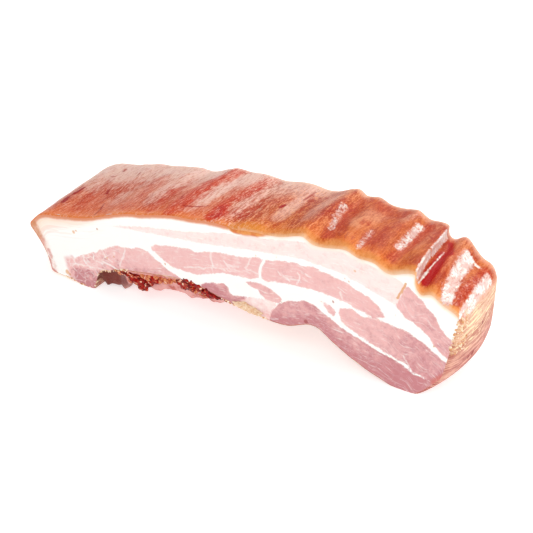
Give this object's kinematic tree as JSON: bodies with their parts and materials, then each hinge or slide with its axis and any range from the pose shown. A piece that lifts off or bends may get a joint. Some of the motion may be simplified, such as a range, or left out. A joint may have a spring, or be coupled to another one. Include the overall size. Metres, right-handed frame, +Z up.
{
  "type": "cured bacon slab",
  "caption": "Slab of smoked pork belly bacon, arched, rind side up, with a wrinkled orange-brown rind over layers of white fat and pink lean shown on a flat knife-cut front",
  "frame": {"origin": "on the table under the middle of the slab's box", "axes": "+X along the slab towards its wrinkled, drooping end, +Y from the knife-cut front to the back, +Z up"},
  "size_m": [0.2987, 0.0915, 0.078],
  "materials": {
    "cured_pork": "glossy orange-brown smoked rind on top, moist cut face of white fat and pink lean in front, drier golden and brown smoked fat and lean on the ends, back and underside"
  },
  "bodies": {
    "root": {"bacon_slab": "cured_pork"}
  },
  "joints": []
}
